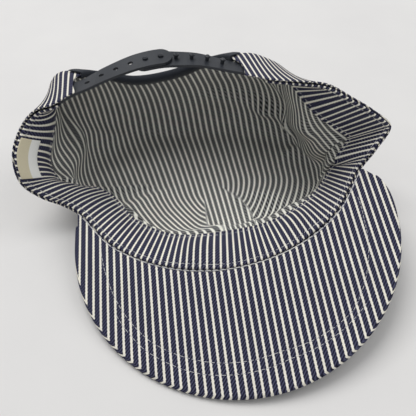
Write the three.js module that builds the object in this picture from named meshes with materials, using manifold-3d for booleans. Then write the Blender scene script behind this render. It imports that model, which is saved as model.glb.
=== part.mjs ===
// A railroad engineer cap, lying upside down with its mouth open upwards and its brim to the front.
// Units are millimetres, +Z is up, the brim points to -Y and +X is the right-hand side of the brim.
import * as THREE from "three";
import Module from "manifold-3d";
import { mergeVertices } from "three/addons/utils/BufferGeometryUtils.js";

const wasm = await Module();
wasm.setup();

const RADIANS = Math.PI / 180;

// Cloth and clearances
const clothWall = 1.5;
const bandWall = 1.2;
const tapeWall = 0.7;
const labelWall = 0.5;
const clearance = 0.3;
const clothGap = 0.55;

// Brim: an ellipse in front, straighter sides, and the curved seam where the crown is sewn on
const brimWidth = 190;
const brimRound = 101;
const brimSide = 25;
const brimCorner = 0.25;
const brimShift = 5.5;
const seamChord = 176.5;
const seamSagitta = 54;
const brimPitch = 9.3;
const brimRoll = 5.56;
const brimWall = clothWall + clothGap + bandWall;

// Mouth of the cap, as it lies: its back is propped up by the crown
const mouthWidth = 229;
const mouthShift = -7;
const mouthBack = 47.5;
const mouthHeight = 86;

// Crown: where it is flattened on the table
const footWidth = 150;
const footDepth = 84;
const footMiddle = [-7, 36];
const footSquareness = 2.4;
const crownFullness = 0.45;
const footFullness = 0.4;
const footSpread = 0.5;
const footTuck = 6;

// Sweatband
const bandHeight = 30;
const bandInset = 0.8;

// Arch cut in the back of the crown, and its tape
const archWidth = 104;
const archDepth = 38;
const archSquareness = 3;
const archMiddle = 0.703;
const tapeWidth = 8;
const tapeStart = 36;
const tapeGap = 0.7;

// Plastic strap
const strapWidth = 17;
const strapWall = 1.6;
const strapTuck = 12;
const strapInsetLeft = 2;
const strapInsetRight = 7;
const pegPitch = 9.6;
const pegHeight = 3.6;
const pegStem = 2.4;
const pegHead = 3.6;
const pegHeadHeight = 1.4;
const holeDiameter = 3.4;
const pegCount = 6;
const engagedPegs = 2;
const openHoles = 4;
const strapTip = 7;
const firstHole = 19.6;

// Steps along a sewn end, in its lengths from the arch's edge, down to where the strap comes free
const strapSteps = [1, 0.5, 0, -0.4];

// Label
const labelLength = 27;
const labelWidth = 13;
const labelInset = 1.6;
const labelAt = 0.906;

// Leaning of the cloth behind the front seam, at equal steps from its left end to its right end.
// swing: degrees to the right of straight back; dip: degrees down.
const frontRows = [
  { swing: 42, dip: 16 },
  { swing: 27, dip: 13 },
  { swing: 14, dip: 11 },
  { swing: 6, dip: 4 },
  { swing: -8, dip: 14 },
  { swing: -14, dip: 24 },
  { swing: -19, dip: 35 },
];

// Edge of the mouth behind the brim, from the right end of the seam round the back to the left end.
// x, y, z: shares of half the mouth's width, of its reach to the back and of its height.
const ringRows = [
  { x: 0.913, y: 0.09, z: 0.5, swing: -46, dip: 38 },
  { x: 1, y: 0.28, z: 0.63, swing: -54, dip: 38 },
  { x: 0.9, y: 0.40, z: 0.74, swing: -54, dip: 42 },
  { x: 0.79, y: 0.50, z: 0.82, swing: -48, dip: 42 },
  { x: 0.666, y: 0.61, z: 0.9, swing: -30, dip: 32 },
  { x: 0.521, y: 0.61, z: 0.94, swing: -7, dip: 18 },
  { x: 0.367, y: 0.64, z: 0.96, swing: 3, dip: 10 },
  { x: 0.245, y: 0.75, z: 0.97, swing: 5, dip: 10 },
  { x: 0.06, y: 0.92, z: 0.99, swing: 2, dip: 24 },
  { x: -0.148, y: 1.00, z: 1, swing: 0, dip: 38 },
  { x: -0.335, y: 0.95, z: 0.99, swing: -3, dip: 38 },
  { x: -0.49, y: 0.85, z: 0.97, swing: -8, dip: 25 },
  { x: -0.654, y: 0.74, z: 0.93, swing: -13, dip: 10 },
  { x: -0.76, y: 0.69, z: 0.87, swing: -8, dip: 10 },
  { x: -0.86, y: 0.73, z: 0.82, swing: 8, dip: 20 },
  { x: -0.935, y: 0.68, z: 0.74, swing: 30, dip: 38 },
  { x: -1, y: 0.45, z: 0.61, swing: 46, dip: 46 },
  { x: -1.005, y: 0.29, z: 0.49, swing: 52, dip: 40 },
  { x: -0.977, y: 0.20, z: 0.385, swing: 54, dip: 32 },
  { x: -0.89, y: 0.14, z: 0.28, swing: 52, dip: 22 },
  { x: -0.8, y: 0.13, z: 0.2, swing: 50, dip: 15 },
];

// Folds of the crown. at: share of the way round the mouth, from the left end of the seam;
// from, to: shares of the way from the band to the middle of the crown; width and height in
// shares of the band's height, with height towards the inside.
const foldStart = 0.12;
const foldEnd = 0.2;
const crownFolds = [
  { name: "left pleat", at: 0.195, from: 0.04, to: 0.8, width: 0.28, height: 0.1 },
  { name: "right pleat", at: 0.23, from: 0.04, to: 0.8, width: 0.28, height: 0.1 },
  { name: "left bend", at: 0.86, from: 0.15, to: 0.75, width: 0.45, height: 0.16 },
  { name: "right bend", at: 0.5, from: 0.2, to: 0.75, width: 0.5, height: 0.16 },
];

// Buckles of the sweatband. height: how far it stands off the crown, as a share of its height.
const bandFolds = [
  { name: "left buckle", at: 0.88, width: 2.4, height: 0.17 },
  { name: "front left buckle", at: 0.152, width: 0.4, height: 0.12 },
  { name: "front right buckle", at: 0.278, width: 0.4, height: 0.12 },
];

// The strap between its sewn ends. x: share of the arch's width from its middle; back, up: shares
// of the strap's width that its edge at the mouth stands behind and above the line between its ends;
// lift: how much more its other edge is raised.
const strapRows = [
  { x: -0.33, back: 0.34, up: 0.12, lift: 0.12 },
  { x: -0.12, back: 0.64, up: 0.22, lift: 0.23 },
  { x: 0.08, back: 0.72, up: 0.22, lift: 0.23 },
  { x: 0.3, back: 0.4, up: 0.12, lift: 0.12 },
];

const striped = { color: 0x2b2c4f, roughness: 0.9, metalness: 0 };
const materials = {
  crown: new THREE.MeshStandardMaterial(striped),
  band: new THREE.MeshStandardMaterial({ color: 0x34355a, roughness: 0.9, metalness: 0 }),
  brim: new THREE.MeshStandardMaterial({ color: 0x30315c, roughness: 0.88, metalness: 0 }),
  tape: new THREE.MeshStandardMaterial({ color: 0x10151c, roughness: 0.8, metalness: 0 }),
  strap: new THREE.MeshStandardMaterial({ color: 0x41474c, roughness: 0.42, metalness: 0 }),
  pegs: new THREE.MeshStandardMaterial({ color: 0x3b4145, roughness: 0.4, metalness: 0 }),
  label: new THREE.MeshStandardMaterial({ color: 0xd8d2c2, roughness: 0.85, metalness: 0 }),
};

const up = new THREE.Vector3(0, 0, 1);
const mix = (a, b, share) => a + (b - a) * share;
const hill = (distance, width) => Math.exp(-((distance / width) ** 2));
const smooth = (share) => {
  const s = Math.min(1, Math.max(0, share));
  return s * s * (3 - 2 * s);
};

// A closed body from two grids of points, side 0 and side 1, of columns x rows. wraps: the last
// column meets the first. pole: the last row is one point on each side.
function slab(columns, rows, pointAt, { wraps = false, pole = false } = {}) {
  const across = wraps ? columns : columns + 1;
  const rings = pole ? rows : rows + 1;
  const perSide = across * rings + (pole ? 1 : 0);
  const positions = [];
  for (const side of [0, 1]) {
    for (let j = 0; j < rings; j++) {
      for (let i = 0; i < across; i++) positions.push(...pointAt(i, j, side).toArray());
    }
    if (pole) positions.push(...pointAt(0, rows, side).toArray());
  }
  const vertex = (i, j, side) => {
    const place = pole && j === rows ? across * rings : j * across + (wraps ? i % columns : i);
    return side * perSide + place;
  };
  const index = [];
  const quad = (a, b, c, d) => {
    index.push(a, b, c);
    index.push(a, c, d);
  };
  for (let j = 0; j < rows; j++) {
    for (let i = 0; i < columns; i++) {
      const lower = [vertex(i, j, 0), vertex(i + 1, j, 0), vertex(i + 1, j + 1, 0), vertex(i, j + 1, 0)];
      const upper = [vertex(i, j, 1), vertex(i, j + 1, 1), vertex(i + 1, j + 1, 1), vertex(i + 1, j, 1)];
      if (pole && j === rows - 1) {
        index.push(lower[0], lower[1], lower[2]);
        index.push(upper[0], upper[1], upper[3]);
      } else {
        quad(...lower);
        quad(...upper);
      }
    }
  }
  for (let i = 0; i < columns; i++) {
    quad(vertex(i, 0, 0), vertex(i, 0, 1), vertex(i + 1, 0, 1), vertex(i + 1, 0, 0));
    if (!pole) {
      quad(vertex(i, rows, 0), vertex(i + 1, rows, 0), vertex(i + 1, rows, 1), vertex(i, rows, 1));
    }
  }
  if (!wraps) {
    for (let j = 0; j < rows; j++) {
      quad(vertex(0, j, 0), vertex(0, j + 1, 0), vertex(0, j + 1, 1), vertex(0, j, 1));
      const [low, high] = [0, 1].map((side) => [vertex(columns, j, side), vertex(columns, j + 1, side)]);
      quad(low[0], high[0], high[1], low[1]);
    }
  }
  const geometry = new THREE.BufferGeometry();
  geometry.setAttribute("position", new THREE.Float32BufferAttribute(positions, 3));
  geometry.setIndex(index);
  return facingOut(geometry);
}

// Turns every face over if the closed surface encloses a negative volume.
function facingOut(geometry) {
  const place = geometry.getAttribute("position");
  const index = geometry.getIndex().array;
  const corners = [new THREE.Vector3(), new THREE.Vector3(), new THREE.Vector3()];
  let volume = 0;
  for (let f = 0; f < index.length; f += 3) {
    corners.forEach((corner, k) => corner.fromBufferAttribute(place, index[f + k]));
    volume += corners[0].dot(corners[1].clone().cross(corners[2]));
  }
  if (volume < 0) {
    for (let f = 0; f < index.length; f += 3) {
      const second = index[f + 1];
      index[f + 1] = index[f + 2];
      index[f + 2] = second;
    }
  }
  return geometry;
}

function toManifold(geometry) {
  const bare = new THREE.BufferGeometry();
  bare.setAttribute("position", geometry.getAttribute("position"));
  bare.setIndex(geometry.getIndex());
  const merged = mergeVertices(bare, 1e-5);
  return new wasm.Manifold(
    new wasm.Mesh({
      numProp: 3,
      vertProperties: new Float32Array(merged.getAttribute("position").array),
      triVerts: new Uint32Array(merged.getIndex().array),
    })
  );
}

function toGeometry(solid) {
  const mesh = solid.getMesh();
  const geometry = new THREE.BufferGeometry();
  geometry.setAttribute("position", new THREE.Float32BufferAttribute(mesh.vertProperties, 3));
  geometry.setIndex(Array.from(mesh.triVerts));
  return geometry;
}

// The brim's plane and outlines, with the seam's ends on the X axis
const seamRadius = ((seamChord / 2) ** 2 + seamSagitta ** 2) / (2 * seamSagitta);
const seamHalfAngle = Math.asin(seamChord / 2 / seamRadius);
const brimRise = (x, y) => x * Math.tan(brimRoll * RADIANS) + y * Math.tan(brimPitch * RADIANS);

// A point of the seam, or of a curve set off to its outside. share: 0 at the left end, 1 at the right.
function seamPoint(share, outside = 0) {
  const angle = mix(-seamHalfAngle, seamHalfAngle, share);
  const radius = seamRadius + outside;
  return new THREE.Vector2(
    radius * Math.sin(angle),
    seamRadius - seamSagitta - radius * Math.cos(angle)
  );
}

function brimOutline() {
  const half = brimWidth / 2;
  const outline = new THREE.Path();
  outline.moveTo(-seamChord / 2, 0);
  outline.quadraticCurveTo(brimShift - half, -brimSide * brimCorner, brimShift - half, -brimSide);
  outline.absellipse(brimShift, -brimSide, half, brimRound, Math.PI, 2 * Math.PI, false);
  outline.quadraticCurveTo(brimShift + half, -brimSide * brimCorner, seamChord / 2, 0);
  return outline;
}

const outlineOfBrim = brimOutline();
const outlineSteps = 120;
const lowestRise = Math.min(...outlineOfBrim.getSpacedPoints(outlineSteps).map((p) => brimRise(p.x, p.y)));
const brimTop = (x, y) => brimRise(x, y) - lowestRise + brimWall;

// Stations round the mouth
const frontPoints = frontRows.map((row, k) => {
  const p = seamPoint(k / (frontRows.length - 1));
  return new THREE.Vector3(p.x, p.y, brimTop(p.x, p.y) - brimWall);
});
const ringPoints = ringRows.map(
  (row) => new THREE.Vector3(mouthShift + (row.x * mouthWidth) / 2, row.y * mouthBack, row.z * mouthHeight)
);
const ringSteps = 1400;
const ring = new THREE.CatmullRomCurve3([...frontPoints, ...ringPoints], true, "centripetal");
ring.arcLengthDivisions = ringSteps;
const slopes = new THREE.CatmullRomCurve3(
  [...frontRows, ...ringRows].map((row) => new THREE.Vector3(row.swing, row.dip, 0)),
  true,
  "catmullrom",
  0.5
);
const ringLength = ring.getLength();
const archCentre = archMiddle * ringLength;
const crownMiddle = new THREE.Vector3(footMiddle[0], footMiddle[1], 0);

// The edge of the flattened crown, shared out evenly round the mouth from the middle of the seam
const frontCentre = seamRadius * seamHalfAngle;
function footPoint(around) {
  const angle = (around - frontCentre) / ringLength * 2 * Math.PI - Math.PI / 2;
  const x = Math.cos(angle);
  const y = Math.sin(angle);
  const reach = (Math.abs(x) ** footSquareness + Math.abs(y) ** footSquareness) ** (1 / footSquareness);
  return new THREE.Vector3(
    crownMiddle.x + ((footWidth / 2) * x) / reach,
    crownMiddle.y + ((footDepth / 2) * y) / reach,
    0
  );
}

// The outer face of the crown in one upright cut. around: distance round the mouth from the left
// end of the seam. The cut runs from the mouth over the band, down to the table and to the middle.
const sections = new Map();
function sectionAt(around) {
  const key = around.toFixed(4);
  if (!sections.has(key)) {
    const share = (((around / ringLength) % 1) + 1) % 1;
    const t = ring.getUtoTmapping(share);
    const slope = slopes.getPoint(t);
    const swing = slope.x * RADIANS;
    const dip = slope.y * RADIANS;
    const leaning = new THREE.Vector3(
      Math.sin(swing) * Math.cos(dip),
      Math.cos(swing) * Math.cos(dip),
      -Math.sin(dip)
    );
    const mouth = ring.getPoint(t);
    const belowBand = mouth.clone().addScaledVector(leaning, bandHeight);
    const foot = footPoint(around);
    const outwards = foot.clone().sub(crownMiddle).normalize();
    const overhang = foot.clone().sub(belowBand).dot(outwards) - footSpread * belowBand.z + footTuck;
    foot.addScaledVector(outwards, -Math.max(0, overhang));
    const drop = belowBand.distanceTo(foot);
    const leaving = belowBand.clone().addScaledVector(leaning, crownFullness * drop);
    leaving.z = Math.max(0, leaving.z);
    const section = new THREE.CurvePath();
    section.add(new THREE.LineCurve3(mouth, belowBand));
    section.add(
      new THREE.CubicBezierCurve3(
        belowBand,
        leaving,
        foot.clone().addScaledVector(outwards, footFullness * drop),
        foot
      )
    );
    section.add(new THREE.LineCurve3(foot, crownMiddle));
    sections.set(key, section);
  }
  return sections.get(key);
}

function outerPoint(around, down) {
  const section = sectionAt(around);
  return section.getPoint(Math.min(1, Math.max(0, down / section.getLength())));
}

// Unit vector towards the inside of the cap
const nudge = 0.4;
function inwardsAt(around, down) {
  if (sectionAt(around).getLength() - down < nudge) return up.clone();
  const low = Math.max(0, down - nudge);
  const along = outerPoint(around + nudge, down).sub(outerPoint(around - nudge, down));
  const across = outerPoint(around, down + nudge).sub(outerPoint(around, low));
  return along.cross(across).normalize();
}

// Distance round the mouth between two places, the short way
function apart(a, b) {
  const gap = Math.abs(a - b) % ringLength;
  return Math.min(gap, ringLength - gap);
}

function crownFold(around, down) {
  const share = (down - bandHeight) / (sectionAt(around).getLength() - bandHeight);
  let height = 0;
  for (const fold of crownFolds) {
    const window = smooth((share - fold.from) / foldStart) * smooth((fold.to - share) / foldEnd);
    const ridge = hill(apart(around, fold.at * ringLength), fold.width * bandHeight);
    height += fold.height * bandHeight * window * ridge;
  }
  return height;
}

function bandFold(around, down) {
  const arch = Math.sin((Math.PI * Math.min(down, bandHeight)) / bandHeight);
  let height = 0;
  for (const fold of bandFolds) {
    height += fold.height * bandHeight * hill(apart(around, fold.at * ringLength), fold.width * bandHeight);
  }
  return height * Math.max(0, arch);
}

// A point at a depth inside the outer face
function clothPoint(around, down, depth) {
  return outerPoint(around, down).addScaledVector(inwardsAt(around, down), depth);
}

// A point of the arch's edge: distance round the mouth and distance down from it
function archPoint(angle) {
  const power = 2 / archSquareness;
  const side = Math.sign(Math.cos(angle)) * Math.abs(Math.cos(angle)) ** power;
  return new THREE.Vector2(archCentre - (archWidth / 2) * side, archDepth * Math.sin(angle) ** power);
}

// Columns round the mouth: the arch, the strap's sewn ends on both sides, and the band
const archColumns = 20;
const tuckColumns = 2;
const bandColumns = 58;
const tuckReach = strapTuck + 2 * clearance;

function edgeColumns() {
  const columns = [];
  for (let k = 0; k < archColumns; k++) {
    const edge = archPoint((Math.PI * k) / archColumns);
    columns.push({ around: edge.x, start: edge.y });
  }
  const end = archCentre + archWidth / 2;
  const bandSpan = ringLength - archWidth - 2 * tuckReach;
  for (let k = 0; k < tuckColumns; k++) {
    columns.push({ around: end + (tuckReach * k) / tuckColumns, start: 0 });
  }
  for (let k = 0; k < bandColumns; k++) {
    columns.push({ around: end + tuckReach + (bandSpan * k) / bandColumns, start: 0 });
  }
  for (let k = 0; k < tuckColumns; k++) {
    columns.push({ around: end + tuckReach + bandSpan + (tuckReach * k) / tuckColumns, start: 0 });
  }
  return columns;
}

const crownColumns = edgeColumns();
const edgeRows = 4;
const lowerRows = 12;
const edgeStep = 3;
const crownRows = edgeRows + lowerRows;

function crownGeometry() {
  return slab(
    crownColumns.length,
    crownRows,
    (i, j, side) => {
      const { around, start } = crownColumns[i];
      const shoulder = Math.max(bandHeight, start + edgeStep * edgeRows);
      const whole = sectionAt(around).getLength();
      const near = mix(start, shoulder, j / edgeRows);
      const down = j < edgeRows ? near : mix(shoulder, whole, (j - edgeRows) / lowerRows);
      const point = clothPoint(around, down, crownFold(around, down) + side * clothWall);
      point.z = Math.max(side * clothWall, point.z);
      return point;
    },
    { wraps: true, pole: true }
  );
}

const bandRows = 5;
const bandDepth = clothWall + clothGap;

function bandGeometry() {
  const first = archColumns + tuckColumns;
  return slab(bandColumns, bandRows, (i, j, side) => {
    const column = crownColumns[(first + i) % crownColumns.length];
    const down = mix(bandInset, bandHeight, j / bandRows);
    return clothPoint(column.around, down, bandDepth + bandFold(column.around, down) + side * bandWall);
  });
}

// The brim's columns leave out a share of the seam and some steps of the outline at both ends.
const brimColumns = 48;
const brimRows = 5;
const brimSpread = 0.6;
const seamTrim = 0.004;
const outlineTrim = 3;
const brimBevel = brimWall / 4;

function brimGeometry() {
  const rim = outlineOfBrim.getSpacedPoints(brimColumns + 2 * outlineTrim).slice(outlineTrim, -outlineTrim);
  return slab(brimColumns, brimRows, (i, j, side) => {
    const inner = seamPoint(mix(seamTrim, 1 - seamTrim, i / brimColumns), clearance);
    const p = inner.lerp(rim[i], (j / brimRows) ** brimSpread);
    const bevel = j === brimRows ? brimBevel : 0;
    const top = brimTop(p.x, p.y);
    return new THREE.Vector3(p.x, p.y, side === 0 ? top - brimWall + bevel : top - bevel);
  });
}

// The tape folded over the edge of the arch. into: distance into the cloth from its edge.
const tapeStep = 0.05;
function tapeGeometry() {
  const outside = -tapeGap;
  const inside = clothWall + tapeGap;
  const fold = [
    [tapeWidth, outside - tapeWall],
    [tapeWidth / 2, outside - tapeWall],
    [-clearance, outside - tapeWall],
    [-clearance - tapeWall, outside],
    [-clearance - tapeWall, inside],
    [-clearance, inside + tapeWall],
    [tapeWidth / 2, inside + tapeWall],
    [tapeWidth, inside + tapeWall],
  ];
  const lining = [
    [tapeWidth, outside],
    [tapeWidth / 2, outside],
    [-clearance, outside],
    [-clearance, outside / 2],
    [-clearance, mix(outside, inside, 0.8)],
    [-clearance, inside],
    [tapeWidth / 2, inside],
    [tapeWidth, inside],
  ];
  const first = Math.ceil((tapeStart * archColumns) / 180);
  return slab(archColumns - 2 * first, fold.length - 1, (i, j, side) => {
    const angle = (Math.PI * (first + i)) / archColumns;
    const [into, depth] = side === 0 ? fold[j] : lining[j];
    const edge = archPoint(angle);
    const along = archPoint(angle + tapeStep).sub(archPoint(angle - tapeStep)).normalize();
    const around = edge.x - into * along.y;
    const down = edge.y + into * along.x;
    return clothPoint(around, down, depth + crownFold(around, down));
  });
}

// The strap's outer face: two rails, at the mouth's side and at the crown's side, from left to right
const leftExit = archCentre + archWidth / 2;
const rightExit = archCentre - archWidth / 2;

function strapRail(offset) {
  const sewn = (around, inset) => clothPoint(around, inset + offset, bandDepth);
  const left = strapSteps.map((share) => sewn(leftExit + share * strapTuck, strapInsetLeft));
  const right = strapSteps.map((share) => sewn(rightExit - share * strapTuck, strapInsetRight)).reverse();
  const free = strapRows.map((row) => {
    const point = left.at(-1).clone().lerp(right[0], 0.5 + row.x);
    point.y += row.back * strapWidth;
    point.z += row.up * strapWidth + row.lift * offset;
    return point;
  });
  return new THREE.CatmullRomCurve3([...left, ...free, ...right], false, "centripetal");
}

const mouthRail = strapRail(0);
const crownRail = strapRail(strapWidth);
const strapLength = (mouthRail.getLength() + crownRail.getLength()) / 2;

// A frame on the strap. along: distance from its left end.
function strapFrame(along) {
  const share = Math.min(1, Math.max(0, along / strapLength));
  const near = mouthRail.getPointAt(share);
  const far = crownRail.getPointAt(share);
  const forward = mouthRail.getTangentAt(share).add(crownRail.getTangentAt(share)).normalize();
  const outwards = forward.clone().cross(far.clone().sub(near)).normalize();
  return { near, far, outwards, middle: near.clone().lerp(far, 0.5) };
}

// Width of a strap near its round tip, as a share of its full width
const tipStart = 0.02;
const strapColumns = 26;
const tipColumns = 6;
const tipWidth = (fromTip) => Math.sqrt(1 - (1 - Math.min(1, Math.max(tipStart, fromTip / strapTip))) ** 2);

function strapBody(start, end, tipAtStart, layer) {
  return slab(strapColumns, 1, (i, j, side) => {
    const fromTip = tipAtStart ? i : strapColumns - i;
    const tipShare = Math.min(1, fromTip / tipColumns);
    const tip = strapTip * (1 - Math.cos((tipShare * Math.PI) / 2));
    const restShare = Math.max(0, fromTip - tipColumns) / (strapColumns - tipColumns);
    const rest = restShare * (end - start - strapTip);
    const along = tipAtStart ? start + tip + rest : end - tip - rest;
    const frame = strapFrame(along);
    const half = 0.5 * tipWidth(tip + rest);
    const point = frame.near.clone().lerp(frame.far, 0.5 + (j === 0 ? -half : half));
    return point.addScaledVector(frame.outwards, -layer(along) - side * strapWall);
  });
}

// Holes and pegs stand on the middle line at equal steps
const holeSides = 12;
const pegSides = 10;
const holeCount = openHoles + engagedPegs;
const holeAt = (k) => firstHole + k * pegPitch;
const pegAt = (k) => holeAt(openHoles + k);
const holesEnd = holeAt(holeCount - 1) + strapTip;
const pegsStart = pegAt(0) - strapTip;
const underLayer = strapWall + clearance;

// The peg strap lies under the hole strap and comes out to the same layer at its sewn end.
const layerChange = 2 * pegPitch;
const pegLayer = (along) => underLayer * (1 - smooth((along - holesEnd) / layerChange));

function standing(geometry, along, depth) {
  const frame = strapFrame(along);
  const turn = new THREE.Quaternion().setFromUnitVectors(new THREE.Vector3(0, 1, 0), frame.outwards);
  const place = frame.middle.clone().addScaledVector(frame.outwards, -depth);
  geometry.applyMatrix4(new THREE.Matrix4().compose(place, turn, new THREE.Vector3(1, 1, 1)));
  return geometry;
}

function holeStrapGeometry() {
  let solid = toManifold(strapBody(0, holesEnd, false, () => 0));
  for (let k = 0; k < holeCount; k++) {
    const drill = new THREE.CylinderGeometry(holeDiameter / 2, holeDiameter / 2, 3 * strapWall, holeSides);
    solid = solid.subtract(toManifold(standing(drill, holeAt(k), strapWall / 2)));
  }
  return toGeometry(solid);
}

function pegStrapGeometry() {
  const profile = [
    [0, -strapWall / 2],
    [pegStem / 2, -strapWall / 2],
    [pegStem / 2, pegHeight - pegHeadHeight],
    [pegHead / 2, pegHeight - pegHeadHeight],
    [pegHead / 2, pegHeight - pegHeadHeight / 2],
    [pegHead / 4, pegHeight],
    [0, pegHeight],
  ].map(([x, y]) => new THREE.Vector2(x, y));
  let solid = toManifold(strapBody(pegsStart, strapLength, true, pegLayer));
  for (let k = 0; k < pegCount; k++) {
    const peg = new THREE.LatheGeometry(profile, pegSides);
    solid = solid.add(toManifold(standing(peg, pegAt(k), pegLayer(pegAt(k)))));
  }
  return toGeometry(solid);
}

const labelColumns = 6;
const labelRows = 3;

function labelGeometry() {
  return slab(labelColumns, labelRows, (i, j, side) => {
    const around = labelAt * ringLength + labelLength * (i / labelColumns - 0.5);
    const down = labelInset + (labelWidth * j) / labelRows;
    const depth = bandDepth + bandFold(around, down) + bandWall + clothGap;
    return clothPoint(around, down, depth + side * labelWall);
  });
}

function named(name, geometry, material) {
  const mesh = new THREE.Mesh(geometry, material);
  mesh.name = name;
  return mesh;
}

const pieces = new THREE.Group();
pieces.add(named("crown", crownGeometry(), materials.crown));
pieces.add(named("sweatband", bandGeometry(), materials.band));
pieces.add(named("brim", brimGeometry(), materials.brim));
pieces.add(named("arch_binding", tapeGeometry(), materials.tape));
pieces.add(named("strap_holes", holeStrapGeometry(), materials.strap));
pieces.add(named("strap_pegs", pegStrapGeometry(), materials.pegs));
pieces.add(named("label", labelGeometry(), materials.label));

// The origin is under the middle of the whole cap, on the table.
const box = new THREE.Box3().setFromObject(pieces);
pieces.position.set(-(box.min.x + box.max.x) / 2, -(box.min.y + box.max.y) / 2, -box.min.z);

const cap = new THREE.Group();
cap.add(pieces);
export default cap;
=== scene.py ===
# %% Load the frame
import math

import bpy
import numpy as np
from mathutils import Matrix, Vector


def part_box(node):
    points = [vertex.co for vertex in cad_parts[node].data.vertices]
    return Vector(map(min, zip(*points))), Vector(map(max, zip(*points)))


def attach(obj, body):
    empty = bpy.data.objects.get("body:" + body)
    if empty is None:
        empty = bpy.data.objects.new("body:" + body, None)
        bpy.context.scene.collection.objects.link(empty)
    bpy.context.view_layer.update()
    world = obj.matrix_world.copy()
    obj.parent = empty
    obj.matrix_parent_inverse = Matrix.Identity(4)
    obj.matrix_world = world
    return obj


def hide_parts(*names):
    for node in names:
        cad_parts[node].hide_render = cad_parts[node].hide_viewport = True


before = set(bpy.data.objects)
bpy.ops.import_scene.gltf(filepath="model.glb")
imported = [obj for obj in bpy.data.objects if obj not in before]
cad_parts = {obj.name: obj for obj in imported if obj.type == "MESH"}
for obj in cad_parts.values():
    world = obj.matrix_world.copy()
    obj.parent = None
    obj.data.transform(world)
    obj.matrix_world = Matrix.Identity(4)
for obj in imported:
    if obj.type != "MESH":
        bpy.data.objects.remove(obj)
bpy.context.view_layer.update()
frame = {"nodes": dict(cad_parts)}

print("nodes:", ", ".join(frame["nodes"]))

# %% [markdown]
# A railroad cap is sewn from a striped twill. It lies here on its flattened crown, with the mouth open
# upwards and the brim to the front. Every cloth piece follows the same surface: a closed curve for the
# edge of the mouth, and for each place on it a cut that runs over the sweatband, down to the table and
# in to the middle of the crown. The surface could be sculpted, but a few named sizes and short tables
# keep the cloth, its lining side, the tape and the stitches on one and the same shape.

# %% Sizes of the cap
MM = 0.001
CLOTH_WALL = 1.5
CLOTH_GAP = 0.55
BAND_WALL = 1.2
BRIM_WIDTH = 190
BRIM_ROUND = 101
BRIM_SIDE = 25
BRIM_CORNER = 0.25
BRIM_SHIFT = 5.5
SEAM_CHORD = 176.5
SEAM_SAGITTA = 54
BRIM_PITCH = math.radians(9.3)
BRIM_ROLL = math.radians(5.56)
BRIM_WALL = CLOTH_WALL + CLOTH_GAP + BAND_WALL
MOUTH_WIDTH = 229
MOUTH_SHIFT = -7
MOUTH_BACK = 47.5
MOUTH_HEIGHT = 86
FOOT_WIDTH = 150
FOOT_DEPTH = 84
FOOT_MIDDLE = np.array([-7.0, 36.0, 0.0])
FOOT_SQUARENESS = 2.4
CROWN_FULLNESS = 0.45
FOOT_FULLNESS = 0.4
FOOT_SPREAD = 0.5
FOOT_TUCK = 6
BAND_HEIGHT = 30
print("brim %d mm, mouth %d mm and foot %d mm wide" % (BRIM_WIDTH, MOUTH_WIDTH, FOOT_WIDTH))

# %% [markdown]
# The tables below hold the edge of the mouth. The front rows only say how the cloth leans behind the
# seam of the brim. The ring rows give the rest of the edge in shares of the mouth's own size.

# %% Tables of the mouth
# swing: degrees to the right of straight back; dip: degrees down
FRONT_ROWS = [(42, 16), (27, 13), (14, 11), (6, 4), (-8, 14), (-14, 24), (-19, 35)]
# x, y, z in shares of the half width, the reach to the back and the height; then swing and dip
RING_ROWS = [
    (0.913, 0.09, 0.5, -46, 38),
    (1, 0.28, 0.63, -54, 38),
    (0.9, 0.40, 0.74, -54, 42),
    (0.79, 0.50, 0.82, -48, 42),
    (0.666, 0.61, 0.9, -30, 32),
    (0.521, 0.61, 0.94, -7, 18),
    (0.367, 0.64, 0.96, 3, 10),
    (0.245, 0.75, 0.97, 5, 10),
    (0.06, 0.92, 0.99, 2, 24),
    (-0.148, 1.00, 1, 0, 38),
    (-0.335, 0.95, 0.99, -3, 38),
    (-0.49, 0.85, 0.97, -8, 25),
    (-0.654, 0.74, 0.93, -13, 10),
    (-0.76, 0.69, 0.87, -8, 10),
    (-0.86, 0.73, 0.82, 8, 20),
    (-0.935, 0.68, 0.74, 30, 38),
    (-1, 0.45, 0.61, 46, 46),
    (-1.005, 0.29, 0.49, 52, 40),
    (-0.977, 0.20, 0.385, 54, 32),
    (-0.89, 0.14, 0.28, 52, 22),
    (-0.8, 0.13, 0.2, 50, 15),
]
print("rows of the mouth:", len(FRONT_ROWS) + len(RING_ROWS))

# %% [markdown]
# A Catmull-Rom curve runs through all of its points, which suits a listed table: each row is a place
# that the edge really passes. With a power of a quarter the steps follow the distances, so that close
# rows make no loops.

# %% Curve and seam
def curve_at(points, t, closed, power):
    """Points at the shares t of a Catmull-Rom curve."""
    points = np.asarray(points, float)
    count = len(points)
    place = np.asarray(t, float) * (count if closed else count - 1)
    step = np.floor(place).astype(int)
    if not closed:
        step = np.clip(step, 0, count - 2)
    part = (place - step)[..., None]
    ends = np.vstack([2 * points[0] - points[1], points, 2 * points[-1] - points[-2]])

    def near(k):
        return points[(step + k) % count] if closed else ends[step + k + 1]

    def gap(a, b):
        return np.sum((b - a) ** 2, -1, keepdims=True) ** power

    a, b, c, d = near(-1), near(0), near(1), near(2)
    ab, bc, cd = gap(a, b), gap(b, c), gap(c, d)
    start = ((b - a) / ab - (c - a) / (ab + bc) + (c - b) / bc) * bc
    end = ((c - b) / bc - (d - b) / (bc + cd) + (d - c) / cd) * bc
    square = -3 * b + 3 * c - 2 * start - end
    cube = 2 * b - 2 * c + start + end
    return b + part * (start + part * (square + part * cube))


SEAM_RADIUS = ((SEAM_CHORD / 2) ** 2 + SEAM_SAGITTA**2) / (2 * SEAM_SAGITTA)
SEAM_HALF = math.asin(SEAM_CHORD / 2 / SEAM_RADIUS)


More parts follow.
